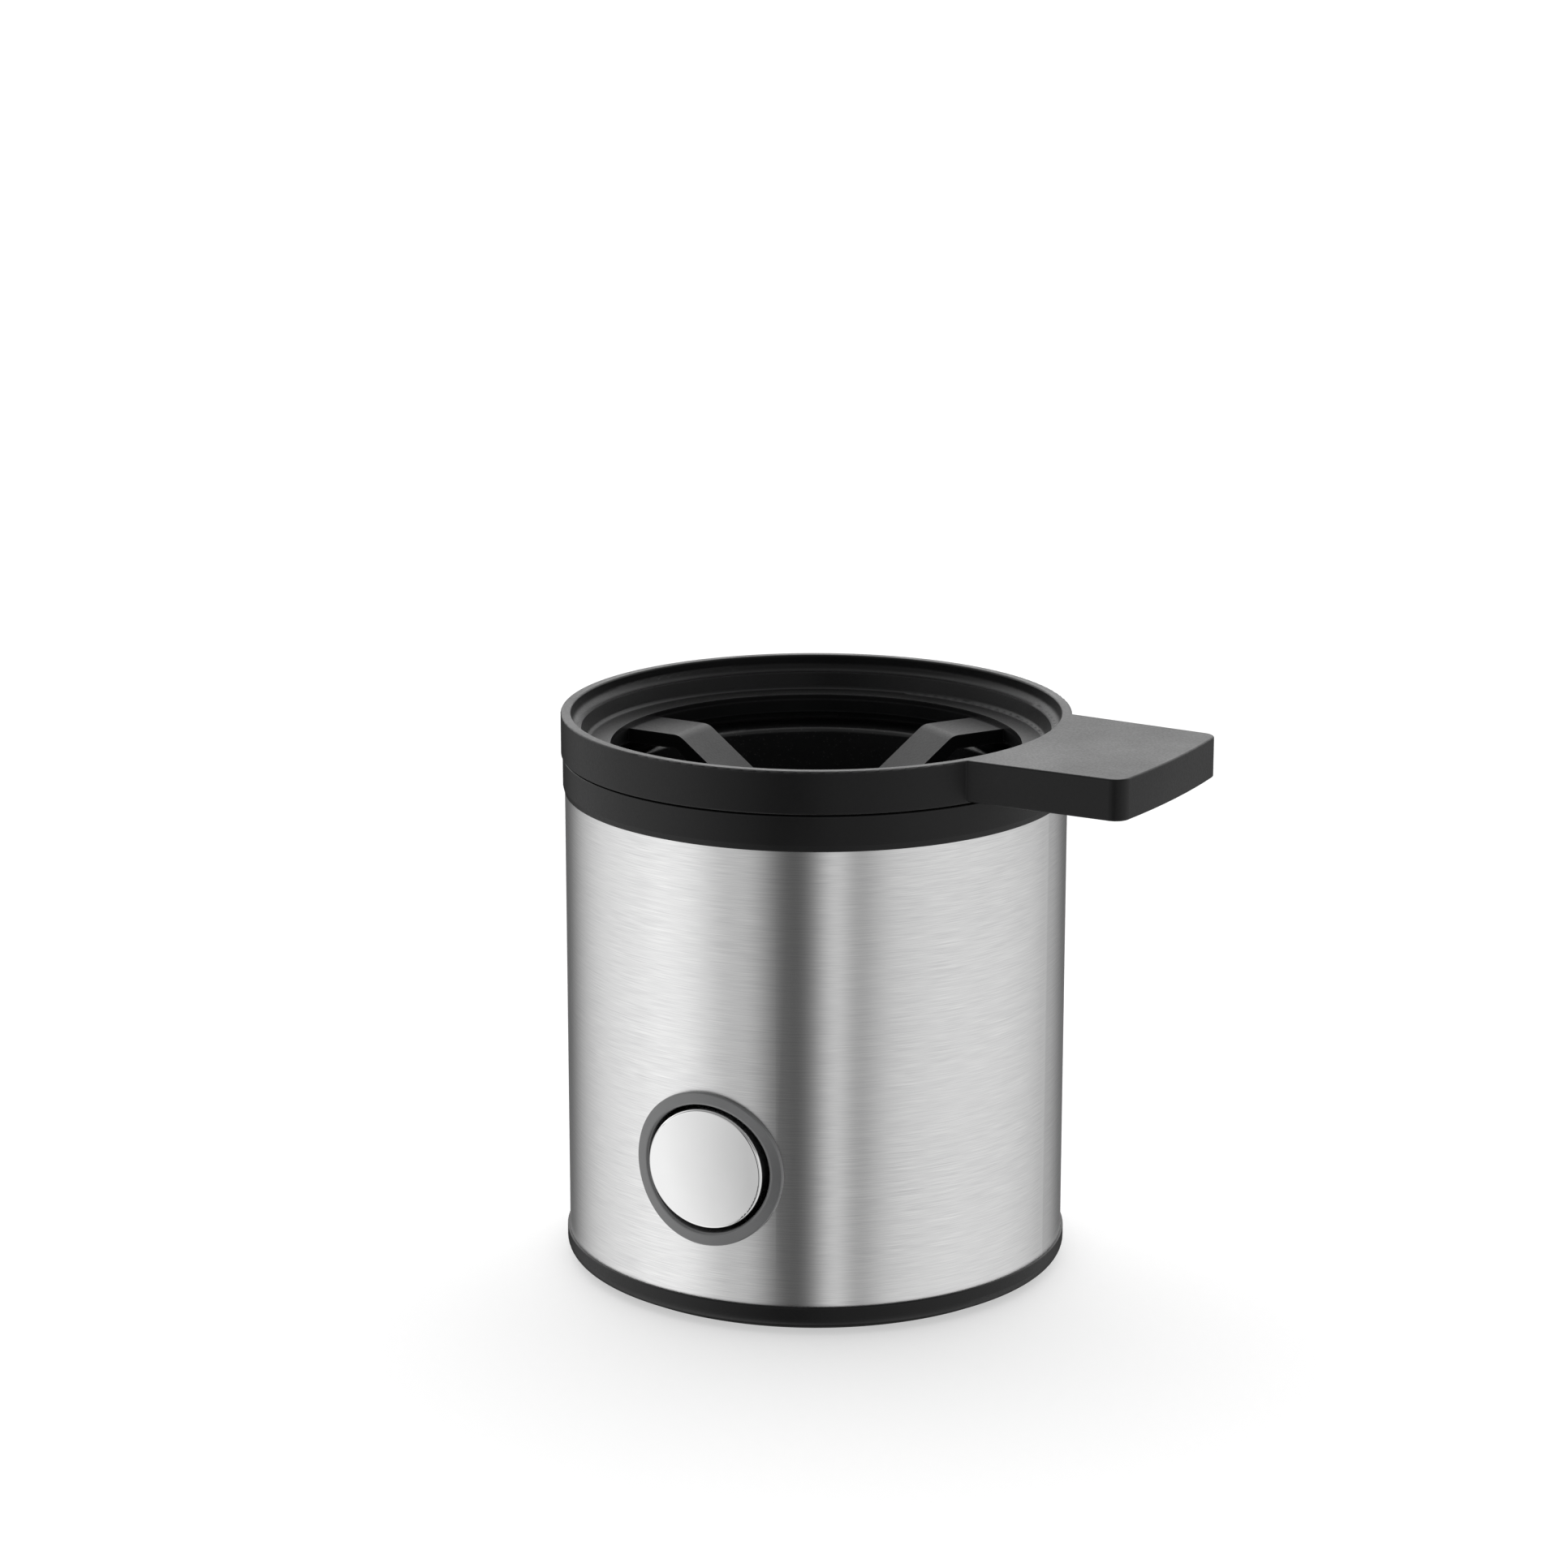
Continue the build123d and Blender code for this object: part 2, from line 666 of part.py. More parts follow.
# ---- button housing: cup behind the sleeve, stem guide, pedestal and switch shelf ----------
with BuildPart() as housing_cup:
    with BuildSketch(axial(-sleeve_r, button_z)):
        Circle(housing_r)
    extrude(amount=housing_back + sleeve_r)
    add(ring_solid(0, spigot_r, 0, rim_top), mode=Mode.INTERSECT)

with BuildPart() as button_housing:
    add(housing_cup.part)
    with BuildSketch(Plane.XY.offset(pan_floor)):
        with Locations((0, (pedestal_front + housing_back) / 2)):
            Rectangle(2 * pedestal_half, housing_back - pedestal_front)
    extrude(amount=pedestal_height)
    with BuildSketch(Plane.XY.offset(tab_bottom)):
        with Locations(*tab_spots):
            Circle(tab_r)
        with Locations((0, tab_y + tab_web_shift)):
            Rectangle(2 * tab_x, tab_web)
    extrude(amount=tab_thick)
    with BuildSketch(axial(-sleeve_r, button_z)):
        Circle(housing_r - cup_wall)
    extrude(amount=housing_back - back_wall + sleeve_r, mode=Mode.SUBTRACT)
    with BuildSketch(axial(housing_back - back_wall - guide_length, button_z)):
        Circle(guide_r)
    extrude(amount=guide_length)
    with BuildSketch(axial(housing_back - back_wall - guide_length, button_z)):
        Circle(stem_r + stem_gap)
    extrude(amount=guide_length + back_wall, mode=Mode.SUBTRACT)
    with BuildSketch(Plane.XY.offset(shelf_top - shelf_thick)):
        with Locations((0, (housing_back + switch_back) / 2)):
            Rectangle(2 * (switch_half + shelf_rail), switch_back - housing_back)
    extrude(amount=shelf_thick)
    with BuildSketch(Plane.XY.offset(pan_floor)):
        with Locations((0, switch_back - shelf_leg / 2)):
            Rectangle(2 * (switch_half + shelf_rail), shelf_leg)
    extrude(amount=shelf_top - pan_floor)
    with BuildSketch(Plane.XY.offset(shelf_top)):
        stop_x = switch_half + stop_gap + stop_wall / 2
        with Locations((stop_x, switch_back - stop_back), (-stop_x, switch_back - stop_back)):
            Rectangle(stop_wall, stop_length)
    extrude(amount=stop_height)
    with BuildSketch(Plane.XY.offset(tab_bottom)):
        with Locations(*tab_spots):
            Circle(small_screw_r + hole_gap)
    extrude(amount=tab_thick, mode=Mode.SUBTRACT)
save(button_housing.part, "button_housing")


def pan_screws(spots, seat, length):
    """Pan-head screws standing in Z, heads resting on seat, shanks pointing down."""
    with BuildPart() as screws:
        with BuildSketch(Plane.XY.offset(seat)):
            with Locations(*spots):
                Circle(small_head_r)
        extrude(amount=small_head_height)
        fillet(screws.edges().group_by(Axis.Z)[-1], head_round)
        with BuildSketch(Plane.XY.offset(seat + driver_floor)):
            with Locations(*spots):
                Rectangle(driver_length, driver_width)
                Rectangle(driver_width, driver_length)
        extrude(amount=small_head_height, mode=Mode.SUBTRACT)
        with BuildSketch(Plane.XY.offset(seat - length)):
            with Locations(*spots):
                Circle(small_screw_r)
        extrude(amount=length)
    return screws.part


save(pan_screws(tab_spots, tab_bottom + tab_thick, housing_screw_length), "housing_screws")

# ---- indicator lamp behind the bezel's tube ------------------------------------------------
with BuildPart() as indicator_lamp:
    with BuildSketch(axial(bezel_back + fit_gap, button_z + lamp_up)):
        Circle(lamp_r)
    extrude(amount=housing_back - back_wall - bezel_back - fit_gap)
    fillet(indicator_lamp.edges().group_by(Axis.Y)[0], lamp_round)
save(indicator_lamp.part, "indicator_lamp")

# ---- push button: plated cap, stem, retaining clip and return spring -----------------------
button_axis = Axis((0, 0, button_z), (0, 1, 0))
with BuildPart() as button_cap:
    with BuildSketch(Plane.XY.offset(button_z)) as cap_profile:
        with BuildLine():
            ThreePointArc((0, cap_front - cap_dome), (cap_r / 2, cap_front - 0.75 * cap_dome),
                          (cap_r, cap_front))
            Polyline((cap_r, cap_front), (cap_r, cap_back), (cap_r - cap_wall, cap_back),
                     (cap_r - cap_wall, cap_inside), (0, cap_inside), (0, cap_front - cap_dome))
        make_face()
        fillet(cap_profile.vertices().sort_by_distance((cap_r, cap_front, 0))[0], cap_edge_r)
    revolve(axis=button_axis)
save(button_cap.part, "button_cap")

with BuildPart() as button_stem:
    with BuildSketch(axial(cap_inside, button_z)):
        Circle(cap_r - cap_wall - fit_gap)
    extrude(amount=stem_head)
    with BuildSketch(axial(cap_inside, button_z)):
        Circle(stem_r)
    extrude(amount=stem_back - cap_inside)
    with BuildSketch(axial(clip_front, button_z)):
        Circle(stem_r)
        Circle(stem_r - stem_groove, mode=Mode.SUBTRACT)
    extrude(amount=clip_thick, mode=Mode.SUBTRACT)
save(button_stem.part, "button_stem")

with BuildPart() as stem_clip:
    with BuildSketch(axial(clip_front, button_z)):
        Circle(clip_r)
        Circle(stem_r - stem_groove, mode=Mode.SUBTRACT)
        with Locations((0, clip_mouth / 2)):
            Rectangle(2 * (stem_r - stem_groove) - clip_squeeze, clip_mouth, mode=Mode.SUBTRACT)
    extrude(amount=clip_thick)
save(stem_clip.part, "stem_clip")

with BuildPart() as return_spring:
    with BuildLine() as coil:
        Helix(spring_pitch, spring_turns * spring_pitch, spring_r,
              center=(0, spring_start, button_z), direction=(0, 1, 0))
    with BuildSketch(Plane(origin=coil.line @ 0, z_dir=coil.line % 0)):
        Circle(spring_wire_r)
    sweep(path=coil.line, is_frenet=True)
save(return_spring.part, "return_spring")

# ---- switch, its moving plunger and its terminals ------------------------------------------
with BuildPart() as switch_body:
    with BuildSketch(Plane.XY.offset(shelf_top)):
        with Locations((0, (switch_front + switch_back) / 2)):
            Rectangle(2 * switch_half, switch_back - switch_front)
    extrude(amount=2 * (button_z - shelf_top))
    chamfer(switch_body.edges().filter_by(Axis.Z), switch_chamfer)
    with BuildSketch(axial(switch_front, button_z)):
        Circle(plunger_r + stem_gap)
    extrude(amount=plunger_hole, mode=Mode.SUBTRACT)
save(switch_body.part, "switch_body")

with BuildPart() as switch_plunger:
    with BuildSketch(axial(stem_back, button_z)):
        Circle(plunger_r)
    extrude(amount=plunger_length)
save(switch_plunger.part, "switch_plunger")

switch_blades = [blade(side * switch_blade_x, switch_back + blade_length / 2, button_z,
                       blade_thick, blade_length, narrow_blade) for side in (1, -1)]
save(Compound(children=switch_blades), "switch_terminals")

# ---- mains terminal block with its clamping screws -----------------------------------------
with BuildPart() as terminal_block:
    with BuildSketch(Plane.XY.offset(pan_floor)):
        with Locations((0, block_y)):
            Rectangle(block_length, 2 * block_half)
    extrude(amount=block_height)
    chamfer(terminal_block.edges().filter_by(Axis.Z), block_chamfer)
    with BuildSketch(axial(block_y - block_half, way_z)):
        with GridLocations(way_pitch, 1, 3, 1):
            Circle(way_r)
    extrude(amount=2 * block_half, mode=Mode.SUBTRACT)
    with BuildSketch(Plane.XY.offset(way_z)):
        with Locations((0, block_y)):
            with GridLocations(way_pitch, 1, 3, 1):
                Circle(way_screw_hole)
    extrude(amount=block_height, mode=Mode.SUBTRACT)
save(terminal_block.part, "terminal_block")

with BuildPart() as terminal_screws:
    with BuildSketch(Plane.XY.offset(way_z + way_screw_low)):
        with Locations((0, block_y)):
            with GridLocations(way_pitch, 1, 3, 1):
                Circle(way_screw_r)
    extrude(amount=way_screw_length)
    with BuildSketch(Plane.XY.offset(way_slot_z)):
        with Locations((0, block_y)):
            with GridLocations(way_pitch, 1, 3, 1):
                Rectangle(2 * way_screw_hole, driver_width)
    extrude(amount=cross_depth, mode=Mode.SUBTRACT)
save(terminal_screws.part, "terminal_screws")

# ---- cord gland in the sleeve's back, and the clamp that holds the cord inside -------------
with BuildPart() as gland_flange:
    with BuildSketch(axial(gland_inner, gland_z)):
        Circle(gland_r)
    extrude(amount=gland_outer - gland_inner)
    fillet(gland_flange.edges().group_by(Axis.Y)[-1], gland_round)
    add(ring_solid(sleeve_bore - lip_overlap, sleeve_r + skin_gap, 0, rim_top), mode=Mode.SUBTRACT)

with BuildPart() as cord_gland:
    with BuildSketch(axial(gland_inner, gland_z)):
        Circle(gland_neck_r)
    extrude(amount=gland_outer - gland_neck_back - gland_inner)
    add(gland_flange.part)
    with BuildSketch(axial(gland_inner, gland_z)):
        Circle(cord_r)
    extrude(amount=gland_outer - gland_inner, mode=Mode.SUBTRACT)
save(cord_gland.part, "cord_gland")

with BuildPart() as cord_clamp:
    with BuildSketch(Plane.XY.offset(clamp_bottom)):
        with Locations((0, clamp_y)):
            SlotOverall(clamp_length, clamp_width)
        with Locations(*clamp_spots):
            Circle(small_screw_r + hole_gap, mode=Mode.SUBTRACT)
    extrude(amount=clamp_thick)
save(cord_clamp.part, "cord_clamp")
save(pan_screws(clamp_spots, clamp_bottom + clamp_thick, clamp_screw_length), "clamp_screws")

# ---- internal wires, each from one terminal's face to another ------------------------------
block_face = block_y - block_half
blade_low = blade_top - blade_length
thermo_low = thermostat_bottom - blade_length
switch_end = switch_back + blade_length

earth_route = [(-way_pitch, block_face, way_z), (-way_pitch, 2.0, way_z), (-14, 1.5, 13),
               (-tag_x + tag_thick / 2, 0, 23), (-tag_x + tag_thick / 2, 0, tag_end_z)]
live_route = [(0, block_face, way_z), (0, 1.5, way_z), (-0.5, 1.5, 14.2),
              (-switch_blade_x, 10, 15.6), (-switch_blade_x, 10, button_z),
              (-switch_blade_x, switch_end, button_z)]
neutral_route = [(way_pitch, block_face, way_z), (way_pitch, 2.0, way_z), (14, 2.5, 13.5),
                 (14, 14, 20), (0, 20.5, 23), (end_x, end_y, 22.5), (end_x, end_y, blade_low)]
switched_route = [(switch_blade_x, switch_end, button_z), (switch_blade_x, 10, button_z),
                  (thermostat_blade_x, 8.5, 27), (thermostat_blade_x, 0, 27),
                  (thermostat_blade_x, 0, thermo_low)]
fuse_in_route = [(-thermostat_blade_x, 0, thermo_low), (-thermostat_blade_x, 0, 29.6),
                 (-3, -9, 30.2), (10, -15, 33), (fuse_x, -15, fuse_z), (fuse_x, -fuse_half, fuse_z)]
fuse_out_route = [(fuse_x, fuse_half, fuse_z), (fuse_x, 14, fuse_z), (16, 18.5, 30),
                  (-end_x, end_y + 3, 24), (-end_x, end_y, 24.5), (-end_x, end_y, blade_low)]
save(wire(earth_route, thick_bend_r), "earth_wire")
save(wire(live_route, thick_bend_r), "live_wire")
save(wire(neutral_route, thick_bend_r), "neutral_wire")
save(wire(switched_route, thick_bend_r), "switched_wire")
save(wire(fuse_in_route, thin_bend_r), "fuse_lead_in")
save(wire(fuse_out_route, thin_bend_r), "fuse_lead_out")

# ---- carrier: ring that stands on the collar, with the flat handle on its side -------------
with BuildPart() as handle_blade:
    with BuildSketch(Plane.XY.rotated((0, 0, handle_angle)).offset(handle_bottom)) as paddle:
        with BuildLine():
            Polyline((handle_reach - handle_tip_bow, -handle_half_tip),
                     (blade_root_x, -handle_half_root), (blade_root_x, handle_half_root),
                     (handle_reach - handle_tip_bow, handle_half_tip))
            ThreePointArc((handle_reach - handle_tip_bow, handle_half_tip), (handle_reach, 0),
                          (handle_reach - handle_tip_bow, -handle_half_tip))
        make_face()
        fillet(paddle.vertices().group_by(Axis.X)[-1], handle_corner_r)
        Circle(ring_r)
        roots = paddle.vertices().filter_by(lambda v: abs(Vector(v.X, v.Y).length - ring_r) < 0.01
                                            and v.X > floor_r)
        fillet(roots, handle_root_r)
        Circle((ring_r + rim_bore_r) / 2, mode=Mode.SUBTRACT)
    extrude(amount=rim_top - handle_bottom)
    under_face = handle_blade.faces().filter_by(Plane.XY).sort_by(Axis.Z)[0]
    fillet(under_face.outer_wire().edges(), edge_round)

with BuildPart() as handle_ring:
    with BuildSketch(Plane.XZ):
        with BuildLine():
            Polyline((floor_r, tray_top), (floor_r, floor_z), (shelf_r - shelf_run_in, floor_z))
            ThreePointArc((shelf_r - shelf_run_in, floor_z), (shelf_r - 0.55, floor_z + 0.16),
                          (shelf_r - 0.35, floor_z + 0.55))
            Polyline((shelf_r - 0.35, floor_z + 0.55), (shelf_r, shelf_z),
                     (rim_bore_r - rim_curve_r, shelf_z))
            ThreePointArc((rim_bore_r - rim_curve_r, shelf_z),
                          (rim_bore_r - rim_curve_r + rim_curve_r * sin(radians(45)),
                           rim_bore_bottom - rim_curve_r * cos(radians(45))),
                          (rim_bore_r, rim_bore_bottom))
            Polyline((rim_bore_r, rim_bore_bottom), (rim_bore_r, rim_top), (ring_r, rim_top),
                     (ring_r, collar_top), (skirt_r, collar_top), (skirt_r, skirt_bottom),
                     (skirt_r - skirt_wall, skirt_bottom), (skirt_r - skirt_wall, tray_top),
                     (floor_r, tray_top))
        make_face()
    revolve(axis=Axis.Z)
    seam_edge = handle_ring.edges().filter_by(lambda e: e.geom_type == GeomType.CIRCLE
                                              and abs(e.radius - ring_r) < 0.01)
    fillet(seam_edge.sort_by(Axis.Z)[0], small_round)
    add(handle_blade.part)
    top_face = handle_ring.faces().filter_by(Plane.XY).sort_by(Axis.Z)[-1]
    fillet(top_face.edges(), edge_round)
    with BuildSketch(Plane.XY.offset(tray_bottom - lug_height)):
        with PolarLocations(skirt_r - skirt_wall, 3, arm_angles[0] + 60):
            Rectangle(lug_depth, lug_width)
        Circle(skirt_r - skirt_wall + lug_sink, mode=Mode.INTERSECT)
    extrude(amount=lug_height)
save(handle_ring.part, "handle_ring")

# ---- egg tray: ring under the carrier's floor, three arms and an open hub ------------------
with BuildPart() as egg_tray:
    with BuildSketch(Plane.XY.offset(tray_bottom)):
        Circle(skirt_r - skirt_wall - tray_gap)
        Circle(floor_r, mode=Mode.SUBTRACT)
    extrude(amount=tray_top - tray_bottom)
    with BuildSketch(Plane.XZ):
        with BuildLine():
            Polyline((hub_r_in, hub_bottom), (hub_r_out, hub_bottom), (hub_r_out, hub_top),
                     (hub_r_out - hub_flat, hub_top), (hub_r_in, hub_top - hub_slope),
                     (hub_r_in, hub_bottom))
        make_face()
    revolve(axis=Axis.Z)
    for angle in arm_angles:
        side = Plane(origin=(0, 0, 0), x_dir=(cos(radians(angle)), sin(radians(angle)), 0),
                     z_dir=(sin(radians(angle)), -cos(radians(angle)), 0))
        with BuildSketch(side) as arm_side:
            with BuildLine():
                Polyline((arm_root_r, tray_top), (knee_r, tray_top), (hub_r_out - hub_overlap, hub_top),
                         (hub_r_out - hub_overlap, hub_bottom), (hub_r_out + hub_overlap, hub_bottom),
                         (knee_r + hub_overlap, tray_top - arm_thick), (arm_root_r, tray_top - arm_thick),
                         (arm_root_r, tray_top))
            make_face()
            fillet(arm_side.vertices().sort_by_distance((knee_r, tray_top, 0))[0], knee_round)
        extrude(amount=arm_half, both=True)
save(egg_tray.part, "egg_tray")
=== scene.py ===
import math

import bpy
from mathutils import Matrix, Vector


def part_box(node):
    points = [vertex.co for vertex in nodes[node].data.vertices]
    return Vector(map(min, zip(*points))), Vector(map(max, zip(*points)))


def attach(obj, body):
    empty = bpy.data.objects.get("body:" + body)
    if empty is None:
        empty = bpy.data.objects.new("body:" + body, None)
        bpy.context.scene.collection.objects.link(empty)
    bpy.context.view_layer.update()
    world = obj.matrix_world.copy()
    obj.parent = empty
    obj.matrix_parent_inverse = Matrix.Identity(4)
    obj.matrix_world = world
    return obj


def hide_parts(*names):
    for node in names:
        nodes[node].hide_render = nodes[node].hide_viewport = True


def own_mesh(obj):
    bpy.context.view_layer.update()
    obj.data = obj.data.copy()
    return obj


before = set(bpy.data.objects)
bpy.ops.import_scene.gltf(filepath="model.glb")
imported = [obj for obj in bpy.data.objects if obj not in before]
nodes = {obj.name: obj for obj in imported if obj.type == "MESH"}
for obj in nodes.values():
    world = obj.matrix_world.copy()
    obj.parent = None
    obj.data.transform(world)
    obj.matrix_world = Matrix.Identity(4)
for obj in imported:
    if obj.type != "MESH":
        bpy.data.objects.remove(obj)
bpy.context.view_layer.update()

bpy.ops.object.select_all(action="DESELECT")


# Base pan: the black floor of the drum, injection moulded in ABS with a fine
# spark-eroded grain and screwed to the inner frame. Its rounded edge shows all
# round under the steel. What every moulded part shares is defined here first.
GRAIN_SCALE = 3200.0
HAZE_SCALE = 70.0
WEAR_AND_SHADE_SCALE = 260.0
WEAR_AND_SHADE_WIDTH = 0.0004
WEAR_AND_SHADE_SAMPLES = 6
WEAR_AND_SHADE_GAIN = 5.0
NOISE_LOW, NOISE_HIGH = 0.3, 0.7
GLOSS_SPREAD = 0.04


def add_group(name, inputs, outputs):
    """An empty shader group with float inputs (name: default) and float outputs."""
    group = bpy.data.node_groups.new(name, "ShaderNodeTree")
    for label, value in inputs.items():
        socket = group.interface.new_socket(label, in_out="INPUT", socket_type="NodeSocketFloat")
        socket.default_value = value
    for label in outputs:
        group.interface.new_socket(label, in_out="OUTPUT", socket_type="NodeSocketFloat")
    return group, group.nodes.new("NodeGroupInput"), group.nodes.new("NodeGroupOutput")


def maths(tree, operation, a, b=None, c=None):
    """One Math node; an argument is a socket or a number."""
    node = tree.nodes.new("ShaderNodeMath")
    node.operation = operation
    for slot, value in zip(node.inputs, (a, b, c)):
        if value is None:
            continue
        if isinstance(value, (int, float)):
            slot.default_value = value
        else:
            tree.links.new(value, slot)
    return node.outputs[0]


def noise(tree, scale, detail, stretch=None):
    """3D noise on Object coordinates; a stretch above 1 makes it finer along that axis."""
    place = tree.nodes.new("ShaderNodeTexCoord").outputs["Object"]
    if stretch is not None:
        mapping = tree.nodes.new("ShaderNodeMapping")
        mapping.inputs["Scale"].default_value = stretch
        tree.links.new(place, mapping.inputs["Vector"])
        place = mapping.outputs["Vector"]
    node = tree.nodes.new("ShaderNodeTexNoise")
    node.inputs["Detail"].default_value = detail
    tree.links.new(place, node.inputs["Vector"])
    if isinstance(scale, (int, float)):
        node.inputs["Scale"].default_value = scale
    else:
        tree.links.new(scale, node.inputs["Scale"])
    return node.outputs["Fac"]


grain_group, taken, given = add_group("moulded_grain", {"Grains per metre": GRAIN_SCALE},
                                      ("Grain", "Haze"))
grain_group.links.new(noise(grain_group, taken.outputs[0], 2.0), given.inputs["Grain"])
grain_group.links.new(noise(grain_group, HAZE_SCALE, 3.0), given.inputs["Haze"])

# Edge mask from rounded normals, broken up by noise. A lighter tone on it is wear; a darker tone on it
# is painted shade on the edges.
edge_rub_and_shade_group, taken, given = add_group("edge_rub_and_shade", {"Gain": WEAR_AND_SHADE_GAIN}, ("Rub and shade",))
round_normal = edge_rub_and_shade_group.nodes.new("ShaderNodeBevel")
round_normal.samples = WEAR_AND_SHADE_SAMPLES
round_normal.inputs["Radius"].default_value = WEAR_AND_SHADE_WIDTH
surface = edge_rub_and_shade_group.nodes.new("ShaderNodeNewGeometry")
agreement = edge_rub_and_shade_group.nodes.new("ShaderNodeVectorMath")
agreement.operation = "DOT_PRODUCT"
edge_rub_and_shade_group.links.new(round_normal.outputs["Normal"], agreement.inputs[0])
edge_rub_and_shade_group.links.new(surface.outputs["Normal"], agreement.inputs[1])
edges = maths(edge_rub_and_shade_group, "SUBTRACT", 1.0, agreement.outputs["Value"])
worn_and_shaded = maths(edge_rub_and_shade_group, "MULTIPLY", edges, noise(edge_rub_and_shade_group, WEAR_AND_SHADE_SCALE, 3.0))
worn_and_shaded = maths(edge_rub_and_shade_group, "MULTIPLY", worn_and_shaded, taken.outputs["Gain"])
edge_rub_and_shade_group.links.new(maths(edge_rub_and_shade_group, "MINIMUM", worn_and_shaded, 1.0), given.inputs["Rub and shade"])


def blank(name):
    """A material with its Principled shader, ready to be wired."""
    material = bpy.data.materials.new(name)
    material.use_nodes = True
    return material, material.node_tree, material.node_tree.nodes["Principled BSDF"]


def use(tree, group, *values):
    """Places a group in a material and sets its inputs in order."""
    node = tree.nodes.new("ShaderNodeGroup")
    node.node_tree = group
    for socket, value in zip(node.inputs, values):
        socket.default_value = value
    return node


def blend_tones(tree, mask, first, second):
    """Colour that goes from first to second as mask goes from 0 to 1."""
    node = tree.nodes.new("ShaderNodeMix")
    node.data_type = "RGBA"
    node.clamp_factor = True
    tree.links.new(mask, node.inputs["Factor"])
    for socket, value in zip((node.inputs[6], node.inputs[7]), (first, second)):
        if isinstance(value, bpy.types.NodeSocket):
            tree.links.new(value, socket)
        else:
            socket.default_value = (*value, 1.0)
    return node.outputs[2]


def remap(tree, value, low, high):
    """Noise values, which seldom leave NOISE_LOW to NOISE_HIGH, spread over low to high."""
    node = tree.nodes.new("ShaderNodeMapRange")
    node.inputs["From Min"].default_value = NOISE_LOW
    node.inputs["From Max"].default_value = NOISE_HIGH
    node.inputs["To Min"].default_value = low
    node.inputs["To Max"].default_value = high
    tree.links.new(value, node.inputs["Value"])
    return node.outputs["Result"]


def raise_surface(tree, shader, height, depth, strength):
    """Bump of that depth in metres into the shader's Normal."""
    bump = tree.nodes.new("ShaderNodeBump")
    bump.inputs["Strength"].default_value = strength
    bump.inputs["Distance"].default_value = depth
    tree.links.new(height, bump.inputs["Height"])
    tree.links.new(bump.outputs["Normal"], shader.inputs["Normal"])


def moulding(name, dark, light, gloss, grains=GRAIN_SCALE, depth=0.00002, specular=0.5, edge_tone=None):
    """Moulded plastic or rubber: two tones, grain, haze, and edges in a tone of their own; a lighter
    edge tone is worn edges, a darker one is painted shade.
    """
    material, tree, shader = blank(name)
    grain = use(tree, grain_group, grains)
    tone = blend_tones(tree, remap(tree, grain.outputs["Haze"], 0.0, 1.0), dark, light)
    if edge_tone is not None:
        rub_and_shade = use(tree, edge_rub_and_shade_group)
        tone = blend_tones(tree, rub_and_shade.outputs["Rub and shade"], tone, edge_tone)
    tree.links.new(tone, shader.inputs["Base Color"])
    rough = remap(tree, grain.outputs["Grain"], gloss - GLOSS_SPREAD, gloss + GLOSS_SPREAD)
    hazed = remap(tree, grain.outputs["Haze"], -GLOSS_SPREAD, GLOSS_SPREAD)
    tree.links.new(maths(tree, "ADD", rough, hazed), shader.inputs["Roughness"])
    shader.inputs["Specular IOR Level"].default_value = specular
    raise_surface(tree, shader, grain.outputs["Grain"], depth, 0.5)
    return material


def dress(material, *names):
    """Gives CAD nodes this material in all their slots."""
    for name in names:
        for place in nodes[name].material_slots:
            place.material = material


black_plastic = moulding("black_plastic", (0.0035, 0.0035, 0.0037), (0.0055, 0.0055, 0.0058), 0.40,
                         specular=0.22, edge_tone=(0.030, 0.030, 0.031))
dress(black_plastic, "base_pan")


# Foot ring: a soft black rubber ring pressed into the groove under the pan, so
# that the drum stands still. It is moulded with a dull face and cross grooves
# for grip, and is turned here from its section.
FOOT_WIDTH = 0.0026
FOOT_EDGE = 0.0003
FOOT_CUT = 0.3 * FOOT_EDGE
TREAD_COUNT = 72
TREAD_DEPTH = 0.00028
MERGE_DISTANCE = 0.000004
rubber = moulding("rubber", (0.014, 0.014, 0.014), (0.024, 0.024, 0.023), 0.74,
                  grains=1500.0, depth=0.00004)


def turn(name, section, centre, axis, steps):
    """Draws a closed section point by point and spins it round an axis into a solid ring."""
    bpy.ops.mesh.primitive_plane_add(size=0.0001, location=section[0])
    piece = bpy.context.active_object
    piece.name = name
    bpy.ops.object.transform_apply(location=True, rotation=True, scale=True)
    bpy.ops.object.mode_set(mode="EDIT")
    bpy.ops.mesh.select_mode(type="VERT")
    bpy.ops.mesh.select_all(action="SELECT")
    bpy.ops.mesh.merge(type="CENTER")
    for start, end in zip(section, (*section[1:], section[0])):
        move = Vector(end) - Vector(start)
        bpy.ops.mesh.extrude_region_move(TRANSFORM_OT_translate={"value": move})
    bpy.ops.mesh.select_all(action="SELECT")
    bpy.ops.mesh.spin(steps=steps, angle=2 * math.pi, center=centre, axis=axis)
    bpy.ops.mesh.select_all(action="SELECT")
    bpy.ops.mesh.remove_doubles(threshold=MERGE_DISTANCE)
    bpy.ops.mesh.normals_make_consistent(inside=False)
    bpy.ops.object.mode_set(mode="OBJECT")
    return piece


def pick_faces(piece, wanted):
    """Leaves selected, in edit mode, only the faces for which wanted(face) is true."""
    bpy.ops.object.mode_set(mode="EDIT")
    bpy.ops.mesh.select_mode(type="FACE")
    bpy.ops.mesh.select_all(action="DESELECT")
    bpy.ops.object.mode_set(mode="OBJECT")
    for face in piece.data.polygons:
        face.select = wanted(face)
    bpy.ops.object.mode_set(mode="EDIT")


def finish_piece(piece, material, body, replaced, crease=35.0):
    """Smooths a new piece except at its creases, gives it finish and body, and hides the CAD node it
    stands in for.
    """
    bpy.ops.object.select_all(action="DESELECT")
    piece.select_set(True)
    bpy.context.view_layer.objects.active = piece
    bpy.ops.object.shade_smooth_by_angle(angle=math.radians(crease))
    piece.data.materials.append(material)
    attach(piece, body)
    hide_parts(replaced)
    bpy.ops.object.select_all(action="DESELECT")


